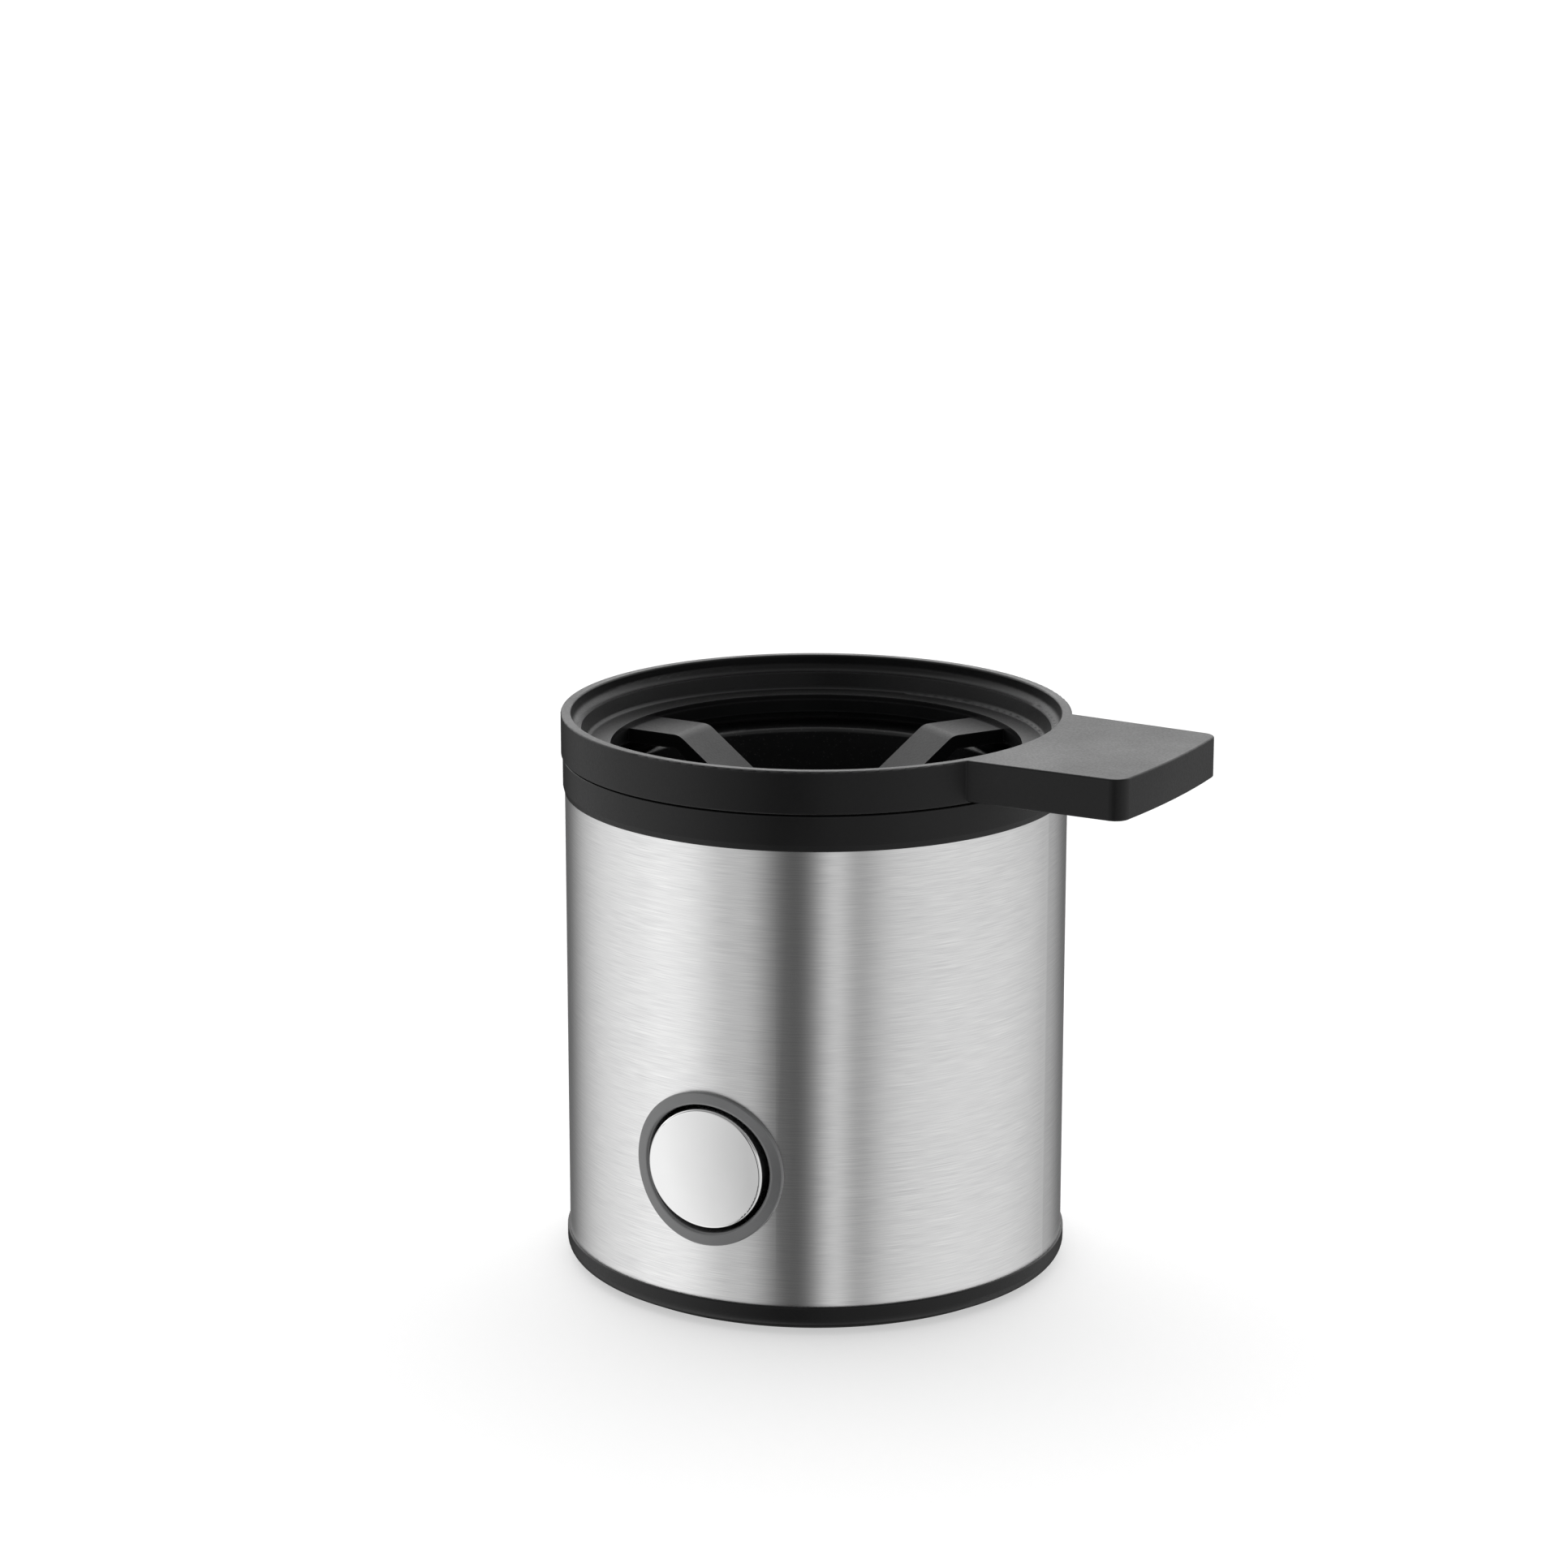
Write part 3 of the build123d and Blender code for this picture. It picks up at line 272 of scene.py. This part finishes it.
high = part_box("foot_ring")[1]
foot_out, foot_top = high[0], high[2]
foot_in = foot_out - FOOT_WIDTH
foot_ring = turn("rubber_foot_ring", (
    (foot_in, 0.0, foot_top), (foot_in, 0.0, FOOT_EDGE), (foot_in + FOOT_CUT, 0.0, FOOT_CUT),
    (foot_in + FOOT_EDGE, 0.0, 0.0), (foot_out - FOOT_EDGE, 0.0, 0.0),
    (foot_out - FOOT_CUT, 0.0, FOOT_CUT), (foot_out, 0.0, FOOT_EDGE), (foot_out, 0.0, foot_top),
), (0.0, 0.0, 0.0), (0.0, 0.0, 1.0), 3 * TREAD_COUNT)
tread_step = 2 * math.pi / TREAD_COUNT
pick_faces(foot_ring, lambda face: face.center.z < FOOT_CUT / 4 and
           math.atan2(face.center.y, face.center.x) % tread_step < tread_step / 3)
bpy.ops.mesh.extrude_region_move(TRANSFORM_OT_translate={"value": (0.0, 0.0, TREAD_DEPTH)})
bpy.ops.object.mode_set(mode="OBJECT")
finish_piece(foot_ring, rubber, "base", "foot_ring")


# Fasteners and terminals: zinc-plated screws and nuts, brass and tinned brass
# terminals, and plain pressed steel clips and studs. Each is a bought-in or
# stamped part, screwed or clipped in place, with a mottled, slightly hazy face.
PATCH_SCALE = 160.0
METAL_SPREAD = 0.07


def metal(name, dark, light, gloss, grains=900.0, depth=0.00001, stretch=None):
    """Bare metal: two tones in patches, fine tool marks, and varying gloss."""
    material, tree, shader = blank(name)
    patches = noise(tree, PATCH_SCALE, 4.0)
    marks = noise(tree, grains, 3.0, stretch)
    tone = blend_tones(tree, remap(tree, patches, 0.0, 1.0), dark, light)
    tree.links.new(tone, shader.inputs["Base Color"])
    shader.inputs["Metallic"].default_value = 1.0
    tree.links.new(remap(tree, marks, gloss - METAL_SPREAD, gloss + METAL_SPREAD),
                   shader.inputs["Roughness"])
    raise_surface(tree, shader, marks, depth, 0.35)
    return material


zinc = metal("zinc_screw", (0.46, 0.47, 0.48), (0.62, 0.62, 0.60), 0.34)
dress(zinc, "base_screws", "collar_screws", "strap_washer", "strap_nuts", "housing_screws",
      "clamp_screws", "stem_clip")
plain_steel = metal("plain_steel", (0.42, 0.42, 0.42), (0.56, 0.55, 0.54), 0.30, stretch=(1.0, 1.0, 9.0))
dress(plain_steel, "dish_studs", "clamp_strap", "fuse_clip")
brass = metal("brass_screw", (0.55, 0.40, 0.16), (0.72, 0.56, 0.26), 0.30)
dress(brass, "terminal_screws")
tinned = metal("tinned_brass", (0.55, 0.54, 0.51), (0.70, 0.69, 0.66), 0.26, stretch=(1.0, 6.0, 1.0))
dress(tinned, "element_terminals", "earth_tag", "thermostat_terminals", "switch_terminals")


# Steel sleeve: one sheet of stainless, rolled and brushed round the drum with
# an abrasive belt, so fine lines run round it and light stretches up and down.
# It is held between the pan and the collar.
FINE_SHARE = 0.75
CLOUD_SHARE = 0.35
BRUSH_DEPTH = 0.000005
LIGHT_SPREAD = 0.75
QUARTER_TURN = 0.25
sleeve_steel, tree, shader = blank("brushed_sleeve")
fine_lines = noise(tree, 240.0, 2.0, (1.0, 1.0, 56.0))
long_lines = noise(tree, 70.0, 2.0, (1.0, 1.0, 110.0))
clouds = noise(tree, 30.0, 2.0, (1.0, 1.0, 2.5))
lines = maths(tree, "ADD", maths(tree, "MULTIPLY", fine_lines, FINE_SHARE),
              maths(tree, "MULTIPLY", long_lines, 1.0 - FINE_SHARE))
brushed_tone = blend_tones(tree, remap(tree, lines, 0.0, 1.0),
                           (0.52, 0.52, 0.525), (0.72, 0.72, 0.715))
cloud_tone = blend_tones(tree, remap(tree, clouds, 0.0, CLOUD_SHARE), brushed_tone, (0.66, 0.66, 0.66))
tree.links.new(cloud_tone, shader.inputs["Base Color"])
tree.links.new(remap(tree, lines, 0.34, 0.30), shader.inputs["Roughness"])
shader.inputs["Metallic"].default_value = 1.0
shader.inputs["Anisotropic"].default_value = LIGHT_SPREAD
shader.inputs["Anisotropic Rotation"].default_value = QUARTER_TURN
raise_surface(tree, shader, lines, BRUSH_DEPTH, 0.5)
dress(sleeve_steel, "steel_sleeve")


# Top collar: the black band that closes the sleeve, moulded like the pan and held
# by four screws through its ledge. The carrier stands on its flat top.
dress(black_plastic, "top_collar")


# Inner frame and button housing: hidden grey mouldings in glass-filled nylon
# that tie the collar, the pan and the switch together.
grey_plastic = moulding("grey_plastic", (0.16, 0.16, 0.155), (0.22, 0.22, 0.21), 0.52, grains=1800.0)
dress(grey_plastic, "inner_frame", "button_housing")


# Dish and seal: the deep-drawn water dish has a baked dark non-stick coating
# with fine flecks. Studs and a strap pull it down on a pale silicone seal.
FLECK_SCALE = 1900.0
FLECK_SIZE = 0.17
dish_coating, tree, shader = blank("dish_coating")
flecks = tree.nodes.new("ShaderNodeTexVoronoi")
flecks.inputs["Scale"].default_value = FLECK_SCALE
tree.links.new(tree.nodes.new("ShaderNodeTexCoord").outputs["Object"], flecks.inputs["Vector"])
fleck = maths(tree, "LESS_THAN", flecks.outputs["Distance"], FLECK_SIZE)
ground = blend_tones(tree, remap(tree, noise(tree, 90.0, 3.0), 0.0, 1.0),
                     (0.009, 0.009, 0.0095), (0.015, 0.015, 0.0155))
tree.links.new(blend_tones(tree, fleck, ground, (0.045, 0.045, 0.045)), shader.inputs["Base Color"])
coat_grain = noise(tree, 2400.0, 2.0)
tree.links.new(remap(tree, coat_grain, 0.28, 0.40), shader.inputs["Roughness"])
shader.inputs["Specular IOR Level"].default_value = 0.35
raise_surface(tree, shader, coat_grain, 0.00001, 0.4)
dress(dish_coating, "heater_dish")
silicone = moulding("silicone", (0.50, 0.50, 0.48), (0.60, 0.60, 0.58), 0.48, grains=700.0)
dress(silicone, "dish_seal")


# Heater: a cast aluminium plate with a tubular element swaged into its groove,
# and a ceramic bead at each end of the tube. The terminal block for the mains
# lead is made of the same white ceramic.
cast_aluminium = metal("cast_aluminium", (0.52, 0.52, 0.53), (0.66, 0.66, 0.66), 0.48,
                       grains=1400.0, depth=0.00005)
dress(cast_aluminium, "heat_plate")
element_tube = metal("element_tube", (0.16, 0.14, 0.13), (0.34, 0.31, 0.28), 0.42)
dress(element_tube, "heating_element")
white_ceramic = moulding("white_ceramic", (0.70, 0.69, 0.65), (0.80, 0.79, 0.76), 0.30, grains=1200.0)
dress(white_ceramic, "element_beads", "terminal_block")


# Heat guards: a snap-disc thermostat in brown bakelite, held against the plate,
# and a one-shot fuse in a sleeve, held by a steel clip.
bakelite = moulding("brown_bakelite", (0.070, 0.030, 0.014), (0.105, 0.048, 0.024), 0.34, grains=1600.0)
dress(bakelite, "thermostat_body")
fuse_body = moulding("fuse_body", (0.42, 0.40, 0.33), (0.55, 0.53, 0.45), 0.40, grains=1300.0)
dress(fuse_body, "thermal_fuse")


# Button bezel and lamp: the smoky light ring, moulded in tinted clear plastic,
# is polished in front and follows the drum's round. Its edges are darker with painted shade.
# An amber lamp stands behind its tube.
# The darker edge tone here is painted shade on the bezel's rounded edges, not wear.
smoky = moulding("smoky_plastic", (0.104, 0.105, 0.107), (0.126, 0.127, 0.129), 0.18,
                 grains=500.0, depth=0.000004, edge_tone=(0.040, 0.040, 0.041))
polish = smoky.node_tree.nodes["Principled BSDF"]
polish.inputs["Coat Weight"].default_value = 0.6
polish.inputs["Coat Roughness"].default_value = 0.06
dress(smoky, "button_bezel")
lamp_plastic = moulding("lamp_plastic", (0.75, 0.36, 0.10), (0.85, 0.46, 0.16), 0.22, grains=800.0)
dress(lamp_plastic, "indicator_lamp")


# Switch, stem and cord clamp: a bought-in push switch in dark nylon with a red
# plunger, behind the white nylon stem of the button. The clamp that holds the
# mains lead is moulded in the same white nylon.
switch_plastic = moulding("switch_plastic", (0.030, 0.030, 0.032), (0.048, 0.048, 0.050), 0.46,
                          grains=1700.0)
dress(switch_plastic, "switch_body")
red_plastic = moulding("red_plastic", (0.42, 0.030, 0.024), (0.55, 0.050, 0.040), 0.36, grains=1400.0)
dress(red_plastic, "switch_plunger")
white_plastic = moulding("white_plastic", (0.62, 0.62, 0.60), (0.72, 0.72, 0.70), 0.40, grains=1500.0)
dress(white_plastic, "button_stem", "cord_clamp")


# Return spring: a coil of spring steel wire round the button's stem, between the
# cap and the housing. It closes up as the button goes in.
SPRING_R = 0.0054
SPRING_WIRE_R = 0.0003
SPRING_TURNS = 4.8
WIRE_SIDES = 12
STEPS_PER_TURN = 28
low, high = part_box("return_spring")
button_z = (low[2] + high[2]) / 2
spring_front = low[1] + SPRING_WIRE_R
spring_length = high[1] - low[1] - 2 * SPRING_WIRE_R
bpy.ops.mesh.primitive_circle_add(vertices=WIRE_SIDES, radius=SPRING_WIRE_R,
                                  location=(SPRING_R, spring_front, button_z))
spring = bpy.context.active_object
spring.name = "button_return_spring"
bpy.context.scene.cursor.location = (0.0, 0.0, button_z)
bpy.ops.object.origin_set(type="ORIGIN_CURSOR")
coil = spring.modifiers.new("coil", "SCREW")
coil.axis = "Y"
coil.angle = 2 * math.pi * SPRING_TURNS
coil.screw_offset = spring_length
coil.steps = coil.render_steps = round(STEPS_PER_TURN * SPRING_TURNS)
coil.use_normal_calculate = True
bpy.ops.object.modifier_apply(modifier="coil")
bpy.ops.object.transform_apply(location=True, rotation=True, scale=True)
bpy.ops.object.mode_set(mode="EDIT")
bpy.ops.mesh.select_all(action="SELECT")
bpy.ops.mesh.fill_holes(sides=0)
bpy.ops.mesh.normals_make_consistent(inside=False)
bpy.ops.object.mode_set(mode="OBJECT")
finish_piece(spring, plain_steel, "base", "return_spring", crease=50.0)
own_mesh(spring)


# Cord gland: a black rubber bush in the back of the sleeve, with a lip on each
# side of the steel, a ribbed face and a bore for the mains lead.
gland_rubber = moulding("gland_rubber", (0.012, 0.012, 0.012), (0.020, 0.020, 0.020), 0.62,
                        grains=1800.0, depth=0.00003, edge_tone=(0.04, 0.04, 0.04))
GLAND_BORE_R = 0.0032
GLAND_NECK_R = 0.0048
GLAND_ROUND = 0.0008
GLAND_BORE_EDGE = 0.0004
ROUND_STEPS = 6
RIB_HEIGHT = 0.00018
RIB_COUNT = 3
STEPS_PER_RIB = 8
GLAND_STEPS = 72
SHEET = 0.0006
SEAT_MARGIN = 0.000001
low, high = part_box("cord_gland")
gland_z = (low[2] + high[2]) / 2
gland_r = (high[2] - low[2]) / 2
gland_back, gland_inner = high[1], low[1]
drum_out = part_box("steel_sleeve")[1][0]
drum_in = drum_out - SHEET
face_in, face_out = GLAND_BORE_R + GLAND_BORE_EDGE, gland_r - GLAND_ROUND
face_points = STEPS_PER_RIB * RIB_COUNT
outline = [(GLAND_BORE_R, gland_inner), (gland_r, gland_inner), (gland_r, drum_in),
           (GLAND_NECK_R, drum_in), (GLAND_NECK_R, drum_out), (gland_r, drum_out),
           (gland_r, gland_back - GLAND_ROUND)]
for step in range(1, ROUND_STEPS + 1):
    angle = math.radians(90.0 * step / ROUND_STEPS)
    outline.append((gland_r - GLAND_ROUND * (1.0 - math.cos(angle)),
                    gland_back - GLAND_ROUND * (1.0 - math.sin(angle))))
for step in range(1, face_points + 1):
    share = step / face_points
    sunk = RIB_HEIGHT * (0.5 - 0.5 * math.cos(2 * math.pi * RIB_COUNT * share))
    outline.append((face_out + (face_in - face_out) * share, gland_back - sunk))
outline.append((GLAND_BORE_R, gland_back - GLAND_BORE_EDGE))
gland = turn("cord_gland_bush", [(r, y, gland_z) for r, y in outline],
             (0.0, 0.0, gland_z), (0.0, 1.0, 0.0), GLAND_STEPS)
for point in gland.data.vertices:
    for seat in (drum_in, drum_out):
        if abs(point.co.y - seat) < SEAT_MARGIN:
            point.co.y = math.sqrt(seat ** 2 - point.co.x ** 2)
finish_piece(gland, gland_rubber, "base", "cord_gland")


# Inner wires: silicone-covered leads in the usual colours, with white glass braid
# on the two leads of the fuse. Each runs from one terminal to another.
for wire_slot, dark, light, wires in (
    ("green_wire", (0.10, 0.24, 0.05), (0.16, 0.33, 0.07), ("earth_wire",)),
    ("brown_wire", (0.085, 0.034, 0.016), (0.125, 0.052, 0.026), ("live_wire", "switched_wire")),
    ("blue_wire", (0.022, 0.075, 0.28), (0.034, 0.115, 0.38), ("neutral_wire",)),
    ("white_wire", (0.62, 0.60, 0.54), (0.74, 0.72, 0.66), ("fuse_lead_in", "fuse_lead_out")),
):
    dress(moulding(wire_slot, dark, light, 0.38, grains=900.0), *wires)


# Carrier: the ring with its handle and the tray with three arms, two mouldings
# in the pan's black plastic pressed together. They lift off the collar as one.
dress(black_plastic, "handle_ring", "egg_tray")


# Button cap: plated plastic, polished bright, with a soft dome and a rounded
# edge. The thumb leaves a faint haze on it.
chrome, tree, shader = blank("chrome_cap")
smudge = noise(tree, 240.0, 4.0)
plating = blend_tones(tree, remap(tree, smudge, 0.0, 1.0), (0.635, 0.635, 0.635), (0.65, 0.65, 0.65))
tree.links.new(plating, shader.inputs["Base Color"])
tree.links.new(remap(tree, smudge, 0.03, 0.05), shader.inputs["Roughness"])
shader.inputs["Metallic"].default_value = 1.0
dress(chrome, "button_cap")


# Studio: a plain pale floor that glows a little, and soft light from a surround
# that is bright above and has a dark flag on each side of a narrow light in
# front. The far sides are dark too. The camera looks down at the drum.
CAMERA_PLACE = (0.232822, -0.500024, 0.206326)
CAMERA_TURN = math.radians(25.4057)
CAMERA_DIP = math.radians(14.4553)
FOCAL_LENGTH = 99.44
FLOOR_RADIUS = 6.0
FLOOR_DROP = 0.00002
FLOOR_GLOW = 0.5
bpy.ops.mesh.primitive_circle_add(vertices=96, radius=FLOOR_RADIUS, fill_type="NGON",
                                  location=(0.0, 0.0, -FLOOR_DROP))
floor = bpy.context.active_object
floor.name = "studio_floor"
floor_paint, tree, shader = blank("studio_floor")
paper = remap(tree, noise(tree, 900.0, 2.0), 0.0, 1.0)
paper_tone = blend_tones(tree, paper, (0.52, 0.52, 0.52), (0.54, 0.54, 0.54))
tree.links.new(paper_tone, shader.inputs["Base Color"])
shader.inputs["Emission Color"].default_value = (1.0, 1.0, 1.0, 1.0)
shader.inputs["Emission Strength"].default_value = FLOOR_GLOW
shader.inputs["Roughness"].default_value = 0.9
shader.inputs["Specular IOR Level"].default_value = 0.1
floor.data.materials.append(floor_paint)
floor.visible_glossy = False

# The surround's light by heading, in degrees round the drum from the camera's
# side. Its levels are set lamp by lamp and flag by flag.
SURROUND = (
    (-180, 0.03), (-165, 0.02), (-155, 0.04), (-145, 0.26), (-130, 0.70), (-115, 1.00),
    (-100, 1.18), (-75, 1.46), (-60, 1.34), (-50, 1.02), (-42, 0.76), (-36, 0.80), (-32, 0.84),
    (-26, 0.60), (-20, 0.26), (-15, 0.07), (-5, 0.03), (0, 0.30), (4, 0.90), (10, 1.28),
    (15, 0.54), (20, 0.36), (25, 0.66), (34, 0.92), (50, 1.06), (70, 1.12), (95, 1.04),
    (120, 0.78), (140, 0.44), (153, 0.10), (164, 0.03), (180, 0.03),
)
SKY_BEHIND, SKY_IN_FRONT = 2.2, 0.35
SKY_TURNS_AT = (-0.75, 0.45)
HORIZON_BLEND = 0.2
HORIZON_RISE = 0.3
world = bpy.data.worlds.new("studio_surround")
bpy.context.scene.world = world
world.use_nodes = True
tree = world.node_tree
tree.nodes.clear()
ray = tree.nodes.new("ShaderNodeTexCoord").outputs["Generated"]
apart = tree.nodes.new("ShaderNodeSeparateXYZ")
tree.links.new(ray, apart.inputs[0])
heading = maths(tree, "ARCTAN2", apart.outputs["X"], maths(tree, "MULTIPLY", apart.outputs["Y"], -1.0))
round_turn = maths(tree, "WRAP", maths(tree, "SUBTRACT", heading, CAMERA_TURN), math.pi, -math.pi)
share = maths(tree, "ADD", maths(tree, "DIVIDE", round_turn, 2 * math.pi), 0.5)
ring = tree.nodes.new("ShaderNodeValToRGB")
ring.color_ramp.interpolation = "LINEAR"
tree.links.new(share, ring.inputs["Fac"])
stops = ring.color_ramp.elements
while len(stops) < len(SURROUND):
    stops.new(0.5)
for stop, (angle, light) in zip(stops, SURROUND):
    stop.position = (angle + 180.0) / 360.0
    stop.color = (light, light, light, 1.0)


def ease(value, start, end, low=0.0, high=1.0):
    """A smooth step of a value from low at start to high at end."""
    node = tree.nodes.new("ShaderNodeMapRange")
    node.interpolation_type = "SMOOTHSTEP"
    for label, number in (("From Min", start), ("From Max", end), ("To Min", low), ("To Max", high)):
        node.inputs[label].default_value = number
    tree.links.new(value, node.inputs["Value"])
    return node.outputs["Result"]


across = maths(tree, "MULTIPLY", apart.outputs["X"], math.sin(CAMERA_TURN))
along = maths(tree, "MULTIPLY", apart.outputs["Y"], -math.cos(CAMERA_TURN))
nearer = maths(tree, "ADD", across, along)
rise = maths(tree, "MULTIPLY", maths(tree, "MAXIMUM", nearer, 0.0), HORIZON_RISE)
height = maths(tree, "SUBTRACT", apart.outputs["Z"], rise)
sky = ease(nearer, *SKY_TURNS_AT, SKY_BEHIND, SKY_IN_FRONT)
surround = blend_tones(tree, ease(height, 0.0, HORIZON_BLEND), ring.outputs["Color"], sky)
lamp_light = tree.nodes.new("ShaderNodeBackground")
tree.links.new(surround, lamp_light.inputs["Color"])
seen = tree.nodes.new("ShaderNodeBackground")
seen.inputs["Color"].default_value = (1.0, 1.0, 1.0, 1.0)
chosen = tree.nodes.new("ShaderNodeMixShader")
tree.links.new(tree.nodes.new("ShaderNodeLightPath").outputs["Is Camera Ray"], chosen.inputs[0])
tree.links.new(lamp_light.outputs[0], chosen.inputs[1])
tree.links.new(seen.outputs[0], chosen.inputs[2])
tree.links.new(chosen.outputs[0], tree.nodes.new("ShaderNodeOutputWorld").inputs["Surface"])

lens = bpy.data.cameras.new("camera")
lens.sensor_width = 36.0
lens.lens = FOCAL_LENGTH
camera = bpy.data.objects.new("camera", lens)
bpy.context.collection.objects.link(camera)
camera.location = CAMERA_PLACE
tilt = Matrix.Rotation(math.pi / 2 - CAMERA_DIP, 3, "X")
camera.rotation_euler = (Matrix.Rotation(CAMERA_TURN, 3, "Z") @ tilt).to_euler()
lens.clip_start, lens.clip_end = 0.01, 50.0
bpy.context.scene.camera = camera
bpy.context.scene.view_settings.view_transform = "Standard"
